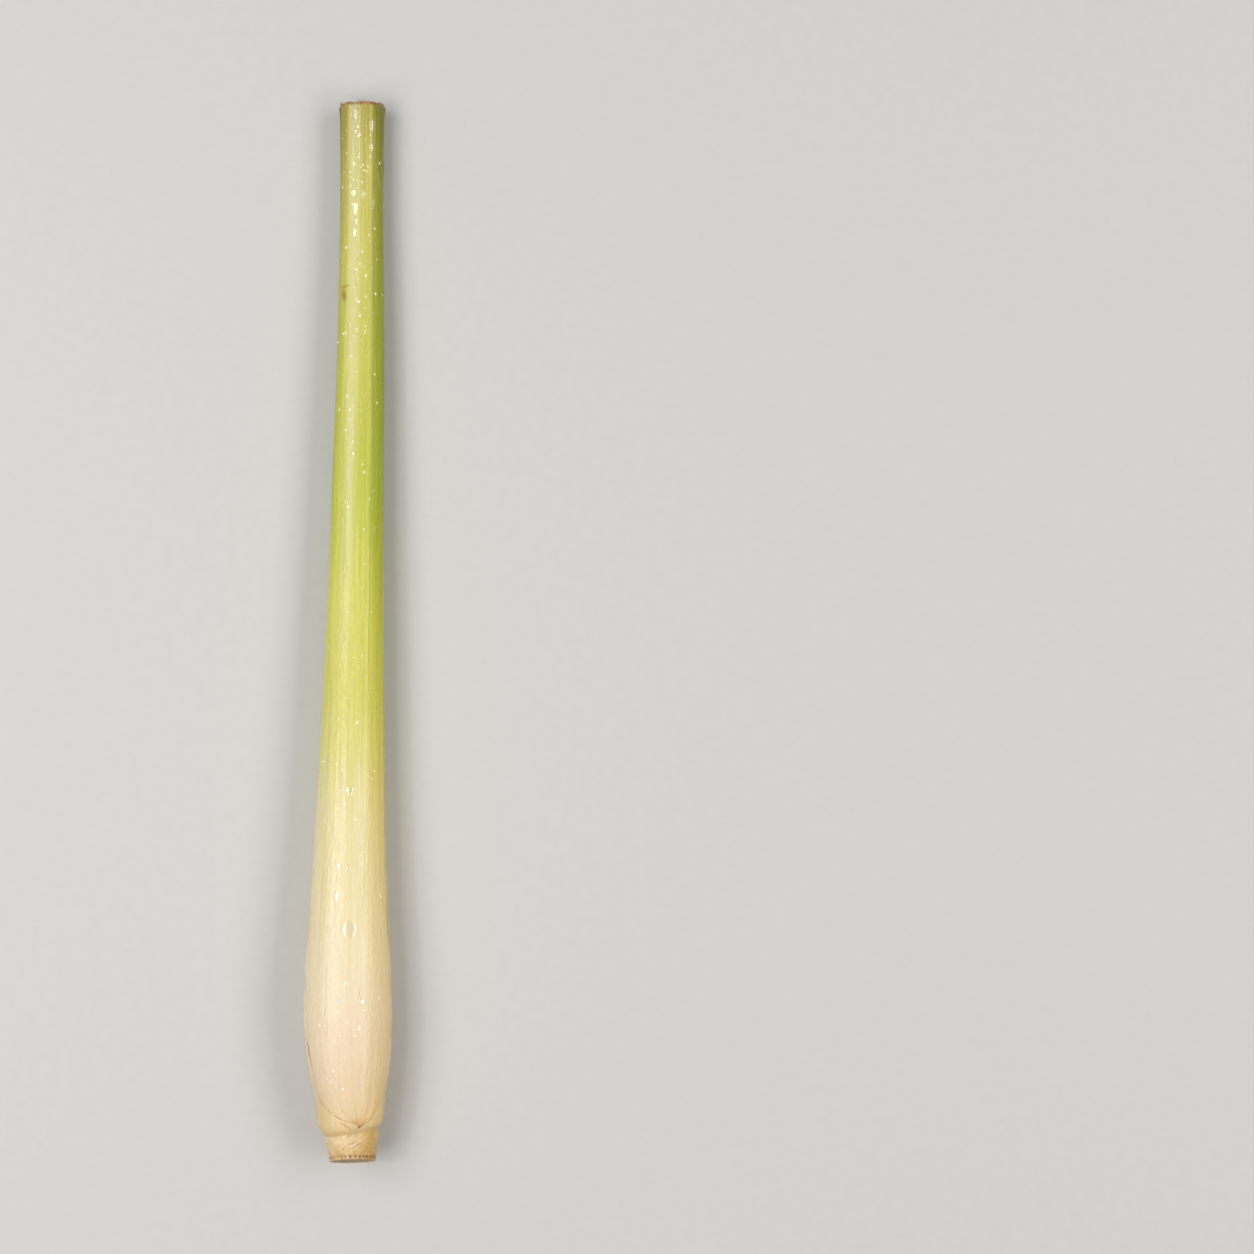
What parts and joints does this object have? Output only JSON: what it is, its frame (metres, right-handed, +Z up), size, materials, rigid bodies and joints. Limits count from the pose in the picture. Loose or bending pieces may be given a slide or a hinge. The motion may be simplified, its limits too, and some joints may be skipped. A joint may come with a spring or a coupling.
{
  "type": "lemongrass stalk",
  "caption": "Trimmed fresh lemongrass stalk lying on its side: pale bulb with a root cut, rolled leaf sheaths turning green, square-cut top.",
  "frame": {"origin": "on the surface the stalk lies on, under the middle of its box", "axes": "+Y along the stalk from the root cut to the top cut, +Z up from the surface, the open front of the outer sheath faces up"},
  "size_m": [0.0168, 0.2008, 0.0146],
  "materials": {
    "stem": "fresh plant stem, pale gold, satin",
    "outer_sheath": "fresh leaf sheath, cream to yellow-green, satin, fine lengthwise veins",
    "front_sheath": "fresh leaf sheath, cream at the bulb to yellow-green at the top, moist satin",
    "inner_sheath": "fresh inner leaf sheath, cream, satin",
    "blush_sheath": "fresh inner leaf sheath with a pink-purple blush, satin",
    "heart": "young rolled leaves, pale cream, satin"
  },
  "bodies": {
    "root": {"stem_base": "stem", "outer_leaf_sheath": "outer_sheath", "second_leaf_sheath": "front_sheath", "third_leaf_sheath": "inner_sheath", "fourth_leaf_sheath": "blush_sheath", "heart_leaves": "heart"}
  },
  "joints": []
}
